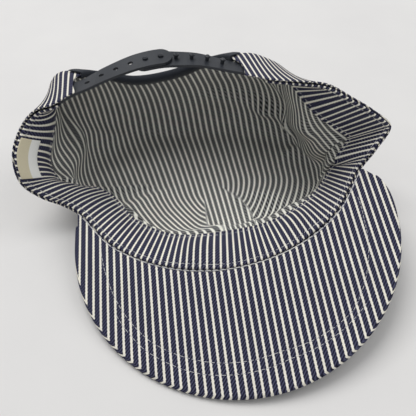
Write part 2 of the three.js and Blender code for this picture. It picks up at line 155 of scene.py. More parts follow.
def seam_point(share, outside=0.0):
    """Place (x, y) on the seam, or on a line set off to its outside."""
    angle = (2 * np.asarray(share) - 1) * SEAM_HALF
    reach = SEAM_RADIUS + outside
    return np.stack([reach * np.sin(angle), SEAM_RADIUS - SEAM_SAGITTA - reach * np.cos(angle)], -1)


print("length of the seam: %.0f mm" % (2 * SEAM_RADIUS * SEAM_HALF))


# %% [markdown]
# The brim's outline is half an ellipse with two short rounded sides that turn in to the seam. The brim
# lies on the table on its front edge, tilted to the back and to one side, so its top is a plane.

# %% Outline of the brim
def evenly(points, count):
    """The same line again, with its points at equal steps."""
    run = np.concatenate([[0], np.cumsum(np.linalg.norm(np.diff(points, axis=0), axis=1))])
    at = np.linspace(0, run[-1], count)
    return np.stack([np.interp(at, run, points[:, k]) for k in range(points.shape[1])], -1)


def brim_outline(count):
    half = BRIM_WIDTH / 2
    s = np.linspace(0, 1, 40)[:, None]
    turn = np.linspace(math.pi, 2 * math.pi, 400)

    def bend(a, b, c):
        return (1 - s) ** 2 * a + 2 * s * (1 - s) * b + s**2 * c

    left, right = BRIM_SHIFT - half, BRIM_SHIFT + half
    corner = -BRIM_SIDE * BRIM_CORNER
    start = bend(np.array([-SEAM_CHORD / 2, 0]), np.array([left, corner]), np.array([left, -BRIM_SIDE]))
    end = bend(np.array([right, -BRIM_SIDE]), np.array([right, corner]), np.array([SEAM_CHORD / 2, 0]))
    round_part = np.stack([BRIM_SHIFT + half * np.cos(turn), -BRIM_SIDE + BRIM_ROUND * np.sin(turn)], -1)
    return evenly(np.vstack([start, round_part[1:-1], end]), count)


def brim_rise(x, y):
    return x * math.tan(BRIM_ROLL) + y * math.tan(BRIM_PITCH)


outline = brim_outline(2000)
LOWEST = brim_rise(outline[:, 0], outline[:, 1]).min()


def brim_top(x, y):
    return brim_rise(x, y) - LOWEST + BRIM_WALL


print("outline of the brim: %.0f mm round" % np.linalg.norm(np.diff(outline, axis=0), axis=1).sum())

# %% [markdown]
# The edge of the mouth joins the seam of the brim in front with the listed rows at the sides and the
# back. Its length is the cap's size, and a whole number of stripes is counted off along it.

# %% Ring of the mouth
front = seam_point(np.linspace(0, 1, len(FRONT_ROWS)))
front = np.column_stack([front, brim_top(front[:, 0], front[:, 1]) - BRIM_WALL])
rows = np.array(RING_ROWS)
back = rows[:, :3] * [MOUTH_WIDTH / 2, MOUTH_BACK, MOUTH_HEIGHT] + [MOUTH_SHIFT, 0, 0]
ring_points = np.vstack([front, back])
slopes = np.vstack([FRONT_ROWS, rows[:, 3:]])
ring_steps = np.linspace(0, 1, 1401)
ring_line = curve_at(ring_points, ring_steps, True, 0.25)
ring_run = np.concatenate([[0], np.cumsum(np.linalg.norm(np.diff(ring_line, axis=0), axis=1))])
RING = ring_run[-1]
FRONT_CENTRE = SEAM_RADIUS * SEAM_HALF
STRIPE_PITCH = 4.0
REPEATS = round(RING / STRIPE_PITCH)
print("mouth: %.0f mm round" % RING)


# %% [markdown]
# Each cut of the cloth is a straight piece as tall as the sweatband, a curve that swells outwards and
# comes down on the table, and a straight line in to the middle. The distance from the edge of the mouth
# is measured along the cut, so that cloth keeps its length where it bends.

# %% Cuts of the cloth
def foot_point(around):
    """Where the cloth reaches the table, and the direction away from the middle there."""
    angle = (around - FRONT_CENTRE) / RING * 2 * math.pi - math.pi / 2
    x, y = np.cos(angle), np.sin(angle)
    reach = (abs(x) ** FOOT_SQUARENESS + abs(y) ** FOOT_SQUARENESS) ** (1 / FOOT_SQUARENESS)
    way = np.stack([FOOT_WIDTH / 2 * x / reach, FOOT_DEPTH / 2 * y / reach, 0 * x], -1)
    return FOOT_MIDDLE + way, way / np.linalg.norm(way, axis=-1, keepdims=True)


def cuts(around):
    """Lines from the mouth to the middle of the crown, and the running length of each."""
    t = np.interp((around / RING) % 1, ring_run / RING, ring_steps)
    swing, dip = np.radians(curve_at(slopes, t, True, 0)).T
    leaning = np.stack([np.sin(swing) * np.cos(dip), np.cos(swing) * np.cos(dip), -np.sin(dip)], -1)
    mouth = curve_at(ring_points, t, True, 0.25)
    below = mouth + leaning * BAND_HEIGHT
    foot, outwards = foot_point(around)
    overhang = ((foot - below) * outwards).sum(-1) - FOOT_SPREAD * below[:, 2] + FOOT_TUCK
    foot = foot - outwards * np.maximum(0, overhang)[:, None]
    drop = np.linalg.norm(below - foot, axis=-1)[:, None]
    leaving = below + leaning * CROWN_FULLNESS * drop
    leaving[:, 2] = np.maximum(0, leaving[:, 2])
    arriving = foot + outwards * FOOT_FULLNESS * drop
    s = np.linspace(0, 1, 49)[None, :, None]
    swell = (1 - s) ** 3 * below[:, None] + 3 * s * (1 - s) ** 2 * leaving[:, None]
    swell = swell + 3 * s**2 * (1 - s) * arriving[:, None] + s**3 * foot[:, None]
    middle = np.broadcast_to(FOOT_MIDDLE, mouth.shape)
    line = np.concatenate([mouth[:, None], swell, middle[:, None]], axis=1)
    run = np.cumsum(np.linalg.norm(np.diff(line, axis=1), axis=-1), axis=1)
    return line, np.concatenate([np.zeros((len(run), 1)), run], axis=1)


def outer(around, down):
    """The outside of the cap: around has one value a column, down one a column and row."""
    line, run = cuts(around)
    place = np.empty(down.shape + (3,))
    for k in range(len(around)):
        for axis in range(3):
            place[k, :, axis] = np.interp(down[k], run[k], line[k, :, axis])
    return place


def length_of_cut(around):
    return cuts(around)[1][:, -1]


def inwards(around, down, nudge=0.4):
    """Unit vectors towards the inside of the cap."""
    along = outer(around + nudge, down) - outer(around - nudge, down)
    across = outer(around, down + nudge) - outer(around, np.maximum(0, down - nudge))
    normal = np.cross(along, across)
    size = np.linalg.norm(normal, axis=-1, keepdims=True)
    normal = np.where(size > 1e-9, normal / np.maximum(size, 1e-9), [0, 0, 1])
    middle = (length_of_cut(around)[:, None] - down) < 2 * nudge
    return np.where(middle[..., None], [0.0, 0.0, 1.0], normal)


def cloth(around, down, depth):
    """The outside of the cap, moved inwards by a depth."""
    around = np.asarray(around, float)
    down = np.asarray(down, float)
    return outer(around, down) + inwards(around, down) * np.asarray(depth, float)[..., None]


lengths = length_of_cut(np.arange(0, RING, 4))
print("cuts: %.0f to %.0f mm long" % (lengths.min(), lengths.max()))

# %% [markdown]
# The tables are written round the cap's own zero, which lies on the table halfway between the ends of the
# brim's seam. The frame has its zero under the middle of the whole cap. Both know the solid of the brim, so
# its box gives the shift, and no distance has to be typed in.

# %% Where the cap's own zero lies in the frame
brim_low, brim_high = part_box("brim")
shift = Vector((
    (brim_low[0] + brim_high[0]) / 2 - BRIM_SHIFT * MM,
    brim_low[1] + (BRIM_SIDE + BRIM_ROUND) * MM,
    0,
))
print("shift of the cap in the frame:", [round(v * 1000, 2) for v in shift])

# %% [markdown]
# A piece of cloth is a thin closed body: one grid of points for its outside, one for its inside, and a
# strip round the edge. Each point also keeps its place in the cloth in millimetres, across and along
# the stripes, in a UV map. The stripes and the weave are painted from that place, so they bend with it.


# %% Mesh helper
def build(name, outside, inside, place_outside, place_inside, wraps=False, closed_end=False):
    """A closed body from two grids (columns x rows), with the cloth's own coordinates as a UV map."""
    columns, rows_of = outside.shape[:2]
    verts = np.concatenate([outside.reshape(-1, 3), inside.reshape(-1, 3)]) * MM + np.array(shift)
    places = np.concatenate([place_outside.reshape(-1, 2), place_inside.reshape(-1, 2)])
    per_side = columns * rows_of
    spans = columns if wraps else columns - 1
    i, j = np.meshgrid(np.arange(spans), np.arange(rows_of - 1), indexing="ij")
    i, j = i.ravel(), j.ravel()
    n = (i + 1) % columns
    a, b, c, d = i * rows_of + j, n * rows_of + j, n * rows_of + j + 1, i * rows_of + j + 1
    faces = np.concatenate([np.stack([a, d, c, b], -1), np.stack([a, b, c, d], -1) + per_side]).tolist()
    sides = [0] * len(a) + [1] * len(a)
    k = np.arange(spans)
    m = (k + 1) % columns
    first, second = k * rows_of, m * rows_of
    faces += np.stack([first, second, second + per_side, first + per_side], -1).tolist()
    sides += [0] * spans
    last, after = first + rows_of - 1, second + rows_of - 1
    if closed_end:
        faces += [last[::-1].tolist(), (last + per_side).tolist()]
        sides += [0, 1]
    else:
        faces += np.stack([after, last, last + per_side, after + per_side], -1).tolist()
        sides += [0] * spans
    if not wraps:
        r = np.arange(rows_of - 1)
        e = (columns - 1) * rows_of
        faces += np.stack([r + 1, r, r + per_side, r + 1 + per_side], -1).tolist()
        faces += np.stack([e + r, e + r + 1, e + r + 1 + per_side, e + r + per_side], -1).tolist()
        sides += [0] * (2 * len(r))
    mesh = bpy.data.meshes.new(name)
    mesh.from_pydata(verts.tolist(), [], faces)
    mesh.polygons.foreach_set("material_index", sides)
    mesh.polygons.foreach_set("use_smooth", [True] * len(faces))
    corner = np.empty(len(mesh.loops), int)
    mesh.loops.foreach_get("vertex_index", corner)
    starts = np.empty(len(mesh.polygons), int)
    mesh.polygons.foreach_get("loop_start", starts)
    spread = places[corner]
    highest = np.repeat(np.maximum.reduceat(spread[:, 0], starts), np.diff([*starts, len(corner)]))
    behind = (highest - spread[:, 0] > RING / 2) & wraps
    spread[behind, 0] += REPEATS * STRIPE_PITCH
    mesh.uv_layers.new(name="Cloth").data.foreach_set("uv", spread.astype("f").ravel())
    mesh.validate()
    mesh.update()
    thing = bpy.data.objects.new(name, mesh)
    bpy.context.scene.collection.objects.link(thing)
    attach(thing, "root")
    print(name, len(faces), "faces")
    return thing


# %% [markdown]
# Folds and buckles stand off the plain surface. Each has a place round the mouth, a stretch of the cut
# and a height, and fades out smoothly at its ends, like a real crease in cotton.


# %% Folds
def hill(distance, width):
    """A smooth hump, 1 in its middle and nearly 0 at twice its width."""
    return np.exp(-((distance / width) ** 2))


def smooth(share):
    """From 0 to 1, with no kink at either end."""
    s = np.clip(share, 0, 1)
    return s * s * (3 - 2 * s)


def apart(a, b):
    """The shorter way round the mouth between two places."""
    gap = abs(a - b) % RING
    return np.minimum(gap, RING - gap)


FOLD_FADE, FOLD_FADE_MIDDLE = 0.06, 0.1
NARROWING = 0.7
# from and to, each as a share round the mouth and a share of the way to the middle; width and height
# in shares of the band's height, where a height below zero sinks away from the inside
CROWN_FOLDS = [
    (0.79, 0.50, 0.93, 0.06, 0.24, 0.15),
    (0.82, 0.25, 0.90, 0.05, 0.30, -0.12),
    (0.95, 0.20, 0.965, 0.55, 0.19, 0.12),
    (0.52, 0.50, 0.44, 0.10, 0.30, 0.16),
    (0.66, 0.38, 0.60, 0.46, 0.20, 0.15),
    (0.60, 0.46, 0.55, 0.42, 0.20, 0.18),
    (0.55, 0.42, 0.49, 0.14, 0.22, 0.16),
    (0.66, 0.22, 0.56, 0.24, 0.35, 0.13),
    (0.76, 0.48, 0.69, 0.76, 0.25, -0.10),
    (0.185, 0.02, 0.187, 0.50, 0.13, 0.06),
    (0.226, 0.02, 0.272, 0.60, 0.13, 0.06),
    (0.28, 0.05, 0.33, 0.45, 0.40, 0.08),
    (0.05, 0.05, 0.03, 0.50, 0.40, 0.08),
]
# at, width, height
BAND_FOLDS = [(0.88, 2.4, 0.17), (0.152, 0.4, 0.12), (0.278, 0.4, 0.12)]


def crown_fold(around, down):
    """How far the cloth of the crown stands inwards of its plain surface."""
    way = (length_of_cut(around) - BAND_HEIGHT)[:, None]
    deep = (down - BAND_HEIGHT) / way
    height = 0
    for start_share, start_deep, end_share, end_deep, width, tall in CROWN_FOLDS:
        middle_deep = (start_deep + end_deep) / 2
        round_here = RING * (1 - NARROWING * middle_deep)
        x = (((around / RING)[:, None] - start_share + 0.5) % 1 - 0.5) * round_here
        y = (deep - start_deep) * way
        to_x = (end_share - start_share) * round_here
        to_y = (end_deep - start_deep) * way
        part = np.clip((x * to_x + y * to_y) / (to_x**2 + to_y**2), 0, 1)
        distance = np.hypot(x - part * to_x, y - part * to_y)
        height = height + tall * BAND_HEIGHT * hill(distance, width * BAND_HEIGHT)
    return height * smooth(deep / FOLD_FADE) * smooth((1 - deep) / FOLD_FADE_MIDDLE)


def band_fold(around, down):
    arch = np.sin(math.pi * np.minimum(down, BAND_HEIGHT) / BAND_HEIGHT)
    height = 0
    for at, width, tall in BAND_FOLDS:
        hump = hill(apart(around, at * RING), width * BAND_HEIGHT)[:, None]
        height = height + tall * BAND_HEIGHT * hump
    return height * np.maximum(0, arch)


print("folds:", len(CROWN_FOLDS), "in the crown,", len(BAND_FOLDS), "in the sweatband")

# %% [markdown]
# At the back the cloth is cut out in an arch, under which the strap closes. A squared ellipse gives its
# flat top and round corners. The columns of the crown start on it and lie evenly elsewhere.

# %% Arch and columns
ARCH_WIDTH = 104
ARCH_DEPTH = 38
ARCH_SQUARENESS = 3
ARCH_CENTRE = 0.703 * RING
TAPE_WIDTH = 8
TAPE_WALL = 0.7
TAPE_START = 36
TAPE_GAP = 0.7
STRAP_TUCK = 12.6


def arch_edge(angle):
    """Distance round the mouth and distance down from it, on the edge of the arch."""
    power = 2 / ARCH_SQUARENESS
    side = np.sign(np.cos(angle)) * abs(np.cos(angle)) ** power
    return ARCH_CENTRE - ARCH_WIDTH / 2 * side, ARCH_DEPTH * abs(np.sin(angle)) ** power


turns = np.linspace(0, math.pi, 91)[:-1]
arch_around, arch_down = arch_edge(turns)
arch_end = ARCH_CENTRE + ARCH_WIDTH / 2
band_around = np.linspace(arch_end, arch_end + RING - ARCH_WIDTH, 361)[:-1]
crown_around = np.concatenate([arch_around, band_around])
crown_start = np.concatenate([arch_down, 0 * band_around])
print("columns of the crown:", len(crown_around))


# %% [markdown]
# The stripes of the crown run from front to back. To know where a point lies in the flat cloth, each cut
# is laid out from the middle of the crown: what runs along the foot stays as it is, and the rest, such
# as the climb up the wall, goes straight away from the foot. In front two pleats take cloth away beside
# the brim, so the stripes lean towards them from both sides and meet there in a V.


# %% The crown's place in the cloth
CLOTH_TURN = math.radians(5)
# at (share round the mouth) and how much further on that is at the middle, side that leans, cloth taken
# away and reach to that side (millimetres), reach to the middle (share of the way)
PLEATS = [(0.184, 0.004, -1, 26, 100, 0.8), (0.224, 0.08, 1, 24, 90, 0.9)]
PLEAT_POWER = 1.4
FAN = 0.0028
FAN_MIDDLE = np.array([2.0, 62.0])


# from, as a share round the mouth at the band and at the middle; way straight off the foot, in degrees,
# at the start and at the end of the panel
WALL_PANELS = [
    (-0.02, -0.02, -190, -110),
    (0.11, 0.11, -110, -76),
    (0.335, 0.335, -20, 60),
    (0.55, 0.55, 60, 112),
    (0.86, 0.7, 112, 170),
    (0.98, 0.98, 170, 478),
]


def wall_way(around, deep):
    """Direction in which the wall is laid out, one angle a column and step."""
    share = (around / RING % 1)[:, None] + 0 * deep
    begins = [rim + (middle - rim) * deep for rim, middle, _, _ in WALL_PANELS] + [2 + 0 * deep]
    angle = 0 * deep
    for begin, after, (_, _, first, last) in zip(begins, begins[1:], WALL_PANELS):
        part = np.clip((share - begin) / (np.minimum(after, begin + 0.5) - begin), 0, 1)
        angle = np.where(share >= begin, first + (last - first) * part, angle)
    return np.radians(angle)


def laid_out(around):
    """Flat (x, y) of every point of the cuts."""
    line, run = cuts(around)
    step = line[:, :-1] - line[:, 1:]
    whole = run[:, -1:]
    deep = np.clip((run[:, 1:] - BAND_HEIGHT) / (whole - BAND_HEIGHT), 0, 1)
    angle = wall_way(around, deep)
    away = np.stack([np.cos(angle), np.sin(angle)], -1)
    along = np.stack([-away[..., 1], away[..., 0]], -1)
    beside = (step[..., :2] * along).sum(-1)
    straight = np.sqrt(np.maximum(0, (step**2).sum(-1) - beside**2))
    move = beside[..., None] * along + straight[..., None] * away
    move[:, -1] = step[:, -1, :2]
    flat = np.cumsum(move[:, ::-1], axis=1)[:, ::-1]
    return np.concatenate([flat, np.zeros((len(flat), 1, 2))], axis=1) + FOOT_MIDDLE[:2], run


def crown_place(around, down):
    """Place in the flat cloth of the crown, across and along its stripes."""
    flat, run = laid_out(around)
    whole = run[:, -1:]
    x, y = np.empty(down.shape), np.empty(down.shape)
    for k in range(len(around)):
        x[k] = np.interp(down[k], run[k], flat[k, :, 0])
        y[k] = np.interp(down[k], run[k], flat[k, :, 1])
    across = x * math.cos(CLOTH_TURN) + y * math.sin(CLOTH_TURN)
    across = across - FAN * (x - FAN_MIDDLE[0]) * (y - FAN_MIDDLE[1])
    deep_of = (down - BAND_HEIGHT) / (whole - BAND_HEIGHT)
    for at, further, side, taken, beside, inwards_of in PLEATS:
        gap = ((around[:, None] / RING - at - further * deep_of + 0.5) % 1 - 0.5) * RING * side
        near = np.where(gap > 0, np.clip(1 - gap / beside, 0, 1), 0) ** PLEAT_POWER
        deep = smooth(1 - deep_of / inwards_of)
        across = across + side * taken * near * deep
    return np.stack([across, y * math.cos(CLOTH_TURN) - x * math.sin(CLOTH_TURN)], -1)


print("pleats:", len(PLEATS), "panels of the wall:", len(WALL_PANELS))


# %% [markdown]
# Outside, the lower part of the cap is one strip of twill whose stripes stand upright and are drawn
# slightly towards the arch at the back. The strip closes on itself, so a whole number of stripes must
# fit round it. A flat layout as used inside would meet badly there, so the distance round is used.

# %% The wall outside
LEAN = 0.35


def wall_place(around, down):
    """Stripes that run up and down the wall and lean towards the arch."""
    lean = LEAN * np.sin(2 * math.pi * (around / RING - ARCH_CENTRE / RING))
    across = (around % RING)[:, None] * REPEATS * STRIPE_PITCH / RING + lean[:, None] * down
    return np.stack([across, down], -1)


print("stripes round the mouth:", REPEATS)

# %% [markdown]
# The crown's body follows the cuts from its raw edge to the middle, with a thin rounded edge. Its first
# rows on the inside get the right side of the twill, because the edge is turned in and sewn there.


# %% The crown
def rounded(distance, reach):
    """From 0 on an edge to 1 at a distance from it, along a quarter of a circle."""
    return np.sqrt(1 - (1 - np.clip(distance / reach, 0, 1)) ** 2)


CROWN_ROWS = 96
CROWN_CLOTH = 1.1
SHORT_OF_MIDDLE = 0.3
TURNED_ROWS = 9
steps = np.concatenate([[0, 0.12, 0.35, 0.6], np.geomspace(1, 4, 4)])
reach = length_of_cut(crown_around) - SHORT_OF_MIDDLE
rest = np.linspace(0, 1, CROWN_ROWS - len(steps) + 1)[1:]
crown_down = np.concatenate([
    crown_start[:, None] + steps[None],
    (crown_start + steps[-1])[:, None] + (reach - crown_start - steps[-1])[:, None] * rest[None],
], axis=1)
bulge = rounded(crown_down - crown_start[:, None], CROWN_CLOTH / 2)
lift = crown_fold(crown_around, crown_down)
outside = cloth(crown_around, crown_down, lift + CLOTH_WALL / 2 - CROWN_CLOTH / 2 * bulge)
inside = cloth(crown_around, crown_down, lift + CLOTH_WALL / 2 + CROWN_CLOTH / 2 * bulge)
outside[..., 2] = np.maximum(outside[..., 2], 0)
inside[..., 2] = np.maximum(inside[..., 2], CROWN_CLOTH)
crown_uv = crown_place(crown_around, crown_down)
wall_uv = wall_place(crown_around, crown_down)
crown = build("crown_cloth", outside, inside, wall_uv, crown_uv, wraps=True, closed_end=True)
for face in crown.data.polygons:
    if face.material_index == 1 and face.vertices[0] % CROWN_ROWS < TURNED_ROWS:
        face.material_index = 0
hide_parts("crown")

# %% [markdown]
# The sweatband is a folded strip of the same twill. Both of its edges are stitched down, and a row of
# stitches draws the cloth into a shallow groove with a soft roll beside it, which a plain strip lacks.

# %% The sweatband
BAND_TOP = 0.25
BAND_EDGE = 0.8
BAND_CLOTH = 0.9
BAND_ROWS_AT = (3.2, 27.2)
GROOVE_DEPTH, GROOVE_WIDTH = 0.45, 0.8
ROLL_HEIGHT, ROLL_WIDTH = 0.25, 1.4
band_columns = np.linspace(arch_end + STRAP_TUCK, arch_end + RING - ARCH_WIDTH - STRAP_TUCK, 420)
band_rows = np.concatenate([
    [0, 0.06, 0.2, 0.45], np.linspace(0.8, 5.6, 16), np.linspace(6.2, 24.6, 22), np.linspace(25, 28.8, 14),
    [29.2, 29.5, 29.7, 29.75],
]) + BAND_TOP
band_down = np.broadcast_to(band_rows, (len(band_columns), len(band_rows)))


def band_face(around, down):
    """Depth of the band's inner face."""
    depth = CLOTH_WALL + CLOTH_GAP + BAND_WALL + band_fold(around, down)
    for at in BAND_ROWS_AT:
        side = math.copysign(ROLL_WIDTH, at - BAND_HEIGHT / 2)
        depth = depth + ROLL_HEIGHT * hill(down - at - side, ROLL_WIDTH)
        depth = depth - GROOVE_DEPTH * hill(down - at, GROOVE_WIDTH)
    return depth


bulge = rounded(np.minimum(band_down - BAND_TOP, BAND_HEIGHT - band_down), BAND_EDGE)
under = CLOTH_WALL + CLOTH_GAP + band_fold(band_columns, band_down)
face = band_face(band_columns, band_down)
middle = under + BAND_CLOTH / 2
outside = cloth(band_columns, band_down, middle + (under - middle) * bulge)
inside = cloth(band_columns, band_down, middle + (face - middle) * bulge)
band_uv = np.stack([np.broadcast_to(band_columns[:, None], band_down.shape), band_down], -1)
band = build("sweatband_cloth", outside, inside, band_uv, band_uv)
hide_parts("sweatband")


# %% [markdown]
# The brim is a board with cloth drawn over both faces. Its rim is round because the cloth turns over
# the board's edge there, and the stripes run on over the rim, so they keep the same x on both faces.


# %% Rows of stitches on the brim
# share of the outline, distance in from the rim in millimetres
INNER_ROW = [(0, 15.5), (0.16, 16), (0.3, 14.6), (0.4, 16.5), (0.54, 19.5), (0.69, 14), (0.88, 20), (1, 20)]
OUTER_ROW = [(0.22, 11.5), (0.3, 9.5), (0.4, 10), (0.55, 14.3), (0.725, 10)]
ROW_FROM_SEAM = 2.5
SMOOTHINGS = 6


def out_of(line):
    """Unit vectors at right angles to a line on the brim, away from the crown."""
    way = np.gradient(line, axis=0)
    way /= np.linalg.norm(way, axis=1, keepdims=True)
    return np.stack([way[:, 1], -way[:, 0]], -1)


def brim_row(table, count=700):
    """A row of stitches on the brim, as far as it lies in front of the seam."""
    rim = brim_outline(count)
    share, distance = np.array(table).T
    at = np.linspace(0, 1, count)
    line = rim - out_of(rim) * np.interp(at, share, distance)[:, None]
    keep = (at >= share[0]) & (at <= share[-1])
    keep &= np.hypot(line[:, 0], line[:, 1] - SEAM_RADIUS + SEAM_SAGITTA) > SEAM_RADIUS + ROW_FROM_SEAM
    line = line[keep]
    for _ in range(SMOOTHINGS):
        line[1:-1] = (line[:-2] + 2 * line[1:-1] + line[2:]) / 4
    return line


brim_lines = [brim_row(INNER_ROW), brim_row(OUTER_ROW)]
lengths = [np.linalg.norm(np.diff(row, axis=0), axis=1).sum() for row in brim_lines]
print("stitched rows of the brim: %.0f and %.0f mm long" % tuple(lengths))


# %% The brim
SINK_DEPTH, SINK_WIDTH = 0.35, 1.0
SEAM_DIP, SEAM_DIP_WIDTH, SEAM_SET_OFF = 0.7, 0.9, 0.1
RIM_TURN_FROM, RIM_BIAS = 0.5, 2.2


def sunk(xy):
    """How deep the stitches pull the cloth in, at places (x, y)."""
    depth = np.zeros(xy.shape[:-1])
    for line in brim_lines:
        nearest = np.full(xy.shape[:-1], 1e9)
        for point in line[::2]:
            nearest = np.minimum(nearest, ((xy - point) ** 2).sum(-1))
        depth = depth + SINK_DEPTH * np.exp(-nearest / SINK_WIDTH**2)
    return depth


def front_edge(shares):
    """Places (x, y) on the edge of the mouth in front, where the brim joins the crown."""
    on_ring = (len(FRONT_ROWS) - 1) / len(ring_points) * shares
    return curve_at(ring_points, on_ring, True, 0.25)[:, :2]


def brim_body(columns=260, rows_of=84, trim=8):
    whole_rim = brim_outline(columns + 2 * trim)
    rim, out = whole_rim[trim:-trim], out_of(whole_rim)[trim:-trim]
    inner = front_edge(np.linspace(0.004, 0.996, columns))
    inner = inner + out_of(inner) * SEAM_SET_OFF
    radius = BRIM_WALL / 2
    flat = (np.linspace(0, 1, rows_of) ** 0.75)[None, :, None]
    top = inner[:, None] * (1 - flat) + (rim - out * radius)[:, None] * flat
    turn = np.array([0.25, RIM_TURN_FROM, 0.8, 1.1, 1.35, math.pi / 2])
    round_xy = (rim - out * radius)[:, None] + out[:, None] * (radius * np.sin(turn))[None, :, None]
    xy = np.concatenate([top, round_xy], axis=1)
    fall = np.concatenate([np.zeros(rows_of), radius * (1 - np.cos(turn))])
    seam_fall = SEAM_DIP * hill(np.linalg.norm(xy - inner[:, None], axis=-1), SEAM_DIP_WIDTH)
    height = brim_top(xy[..., 0], xy[..., 1])
    upper = np.concatenate([xy, (height - fall - sunk(xy) - seam_fall)[..., None]], -1)
    lower = np.concatenate([xy, (height - BRIM_WALL + fall)[..., None]], -1)
    over_rim = radius * np.concatenate([np.zeros(rows_of), np.maximum(0, turn - RIM_TURN_FROM)])
    place = np.stack([xy[..., 0] - RIM_BIAS * out[:, :1] * over_rim, xy[..., 1]], -1)
    return upper, lower, place


upper, lower, brim_uv = brim_body()
brim = build("brim_cloth", upper, lower, brim_uv, brim_uv)
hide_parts("brim")

# %% [markdown]
# The raw edge of the arch at the back is bound with a ribbon. A ribbon folded over an edge is a profile
# swept along that edge, so one list holds its outer face, one its lining face, and the arch curve does
# the rest. The profile swells in the middle and tucks down to the cloth at both of its edges.

# %% The tape of the arch
TAPE_STEP = 1.2
tape_turn = np.radians(np.linspace(TAPE_START, 180 - TAPE_START, 121))
OUT, IN = -TAPE_GAP, CLOTH_WALL + TAPE_GAP
# into the cloth from its edge, and depth: the tape's own face, and its lining face
TAPE_FACE = [(TAPE_WIDTH, OUT - 0.5), (4, OUT - TAPE_WALL), (0, OUT - TAPE_WALL), (-0.8, OUT), (-1, 0.75),
             (-0.8, IN), (0, IN + TAPE_WALL), (4, IN + TAPE_WALL), (TAPE_WIDTH, IN + 0.5)]
TAPE_LINING = [(TAPE_WIDTH, OUT), (4, OUT), (0, OUT), (-0.3, OUT / 2), (-0.3, 0.75),
               (-0.3, IN), (0, IN), (4, IN), (TAPE_WIDTH, IN)]


def tape_grid(profile):
    grid = []
    for into, depth in profile:
        here, there = arch_edge(tape_turn - 0.001), arch_edge(tape_turn + 0.001)
        way = np.stack([there[0] - here[0], there[1] - here[1]], -1)
        way /= np.linalg.norm(way, axis=1, keepdims=True)
        at = arch_edge(tape_turn)
        around, down = at[0] - into * way[:, 1], (at[1] + into * way[:, 0])[:, None]
        grid.append(cloth(around, down, depth + crown_fold(around, down))[:, 0])
    return np.stack(grid, 1)


face = tape_grid(TAPE_FACE)
tape_run = np.arange(len(tape_turn))[:, None] * TAPE_STEP + 0 * face[..., 0]
tape_uv = np.stack([tape_run, np.broadcast_to(np.linspace(0, 20, face.shape[1]), tape_run.shape)], -1)
tape = build("arch_tape", face, tape_grid(TAPE_LINING), tape_uv, tape_uv)
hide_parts("arch_binding")

# %% [markdown]
# The label is a small woven tab on the sweatband, at the left of the cap. It is its own thin body, laid
# on the band at a small distance, and follows the same surface, so it bends round with the band.

# %% The label
LABEL_AT = 0.9
LABEL_LENGTH = 27
LABEL_FROM, LABEL_TO = 0.7, 12.2
LABEL_GAP, LABEL_CLOTH = 0.3, 0.5
label_across = np.linspace(-LABEL_LENGTH / 2, LABEL_LENGTH / 2, 40)
label_columns = LABEL_AT * RING + label_across
label_rows = np.linspace(LABEL_FROM, LABEL_TO, 20)
label_down = np.broadcast_to(label_rows, (len(label_across), len(label_rows)))
depth = CLOTH_WALL + CLOTH_GAP + BAND_WALL + LABEL_GAP + band_fold(label_columns, label_down)
label_uv = np.stack([np.broadcast_to(label_across[:, None], label_down.shape), label_down], -1)
label = build(
    "label_cloth",
    cloth(label_columns, label_down, depth),
    cloth(label_columns, label_down, depth + LABEL_CLOTH),
    label_uv,
    label_uv,
)
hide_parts("label")

# %% [markdown]
# The strap is stiff plastic, and its solids already have the real shape with every hole and peg. So both
# halves are used as they are, and only say which material they take.

# %% [markdown]
# Stitches are short bent pieces of thread that dip into the cloth at both ends. They could be painted, but
# as small tubes they catch the light and keep their shape in every view. One function lays a row of them
# along any line, and the rows only differ in line, length and thread.


# %% Stitches
THREAD_SIDES = 6
chance = np.random.default_rng(7)


def stitch_row(name, line, lift, slot, pitch=3.3, gap=0.6, radius=0.15):
    """Stitches along a line of points (millimetres), with lift as the direction away from the cloth."""
    run = np.concatenate([[0], np.cumsum(np.linalg.norm(np.diff(line, axis=0), axis=1))])
    count = int(run[-1] / pitch)
    begin = np.arange(count) * pitch + chance.uniform(-0.12, 0.12, count)
    shares = np.array([0, 0.1, 0.3, 0.5, 0.7, 0.9, 1])
    swell = np.array([0.3, 0.85, 1, 1, 1, 0.85, 0.3])
    rise = np.array([-1.4, -0.2, 0.5, 0.7, 0.5, -0.2, -1.4]) * radius
    at = begin[:, None] + shares[None] * (pitch - gap)
    middle = np.stack([np.interp(at, run, line[:, k]) for k in range(3)], -1)
    up = np.stack([np.interp(at, run, lift[:, k]) for k in range(3)], -1)
    up /= np.linalg.norm(up, axis=-1, keepdims=True)
    way = np.gradient(middle, axis=1)
    side = np.cross(way, up)
    side /= np.linalg.norm(side, axis=-1, keepdims=True)
    turn = (np.arange(THREAD_SIDES) * 2 * math.pi / THREAD_SIDES)[None, None, :, None]
    ring = side[:, :, None] * np.cos(turn) + up[:, :, None] * np.sin(turn)
    verts = (middle + up * rise[:, None])[:, :, None] + ring * (radius * swell)[None, :, None, None]
    faces = []
    for k in range(count):
        base = k * len(shares) * THREAD_SIDES
        for i in range(len(shares) - 1):
            for j in range(THREAD_SIDES):
                a = base + i * THREAD_SIDES + j
                b = base + i * THREAD_SIDES + (j + 1) % THREAD_SIDES
                faces.append((a, b, b + THREAD_SIDES, a + THREAD_SIDES))
        last = base + (len(shares) - 1) * THREAD_SIDES
        faces.append(tuple(base + j for j in reversed(range(THREAD_SIDES))))
        faces.append(tuple(last + j for j in range(THREAD_SIDES)))
    mesh = bpy.data.meshes.new(name)
    mesh.from_pydata((verts.reshape(-1, 3) * MM + np.array(shift)).tolist(), [], faces)
    mesh.polygons.foreach_set("use_smooth", [True] * len(faces))
    thing = bpy.data.objects.new(name, mesh)
    bpy.context.scene.collection.objects.link(thing)
    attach(thing, "root")
    print(name, count, "stitches")
    return thing


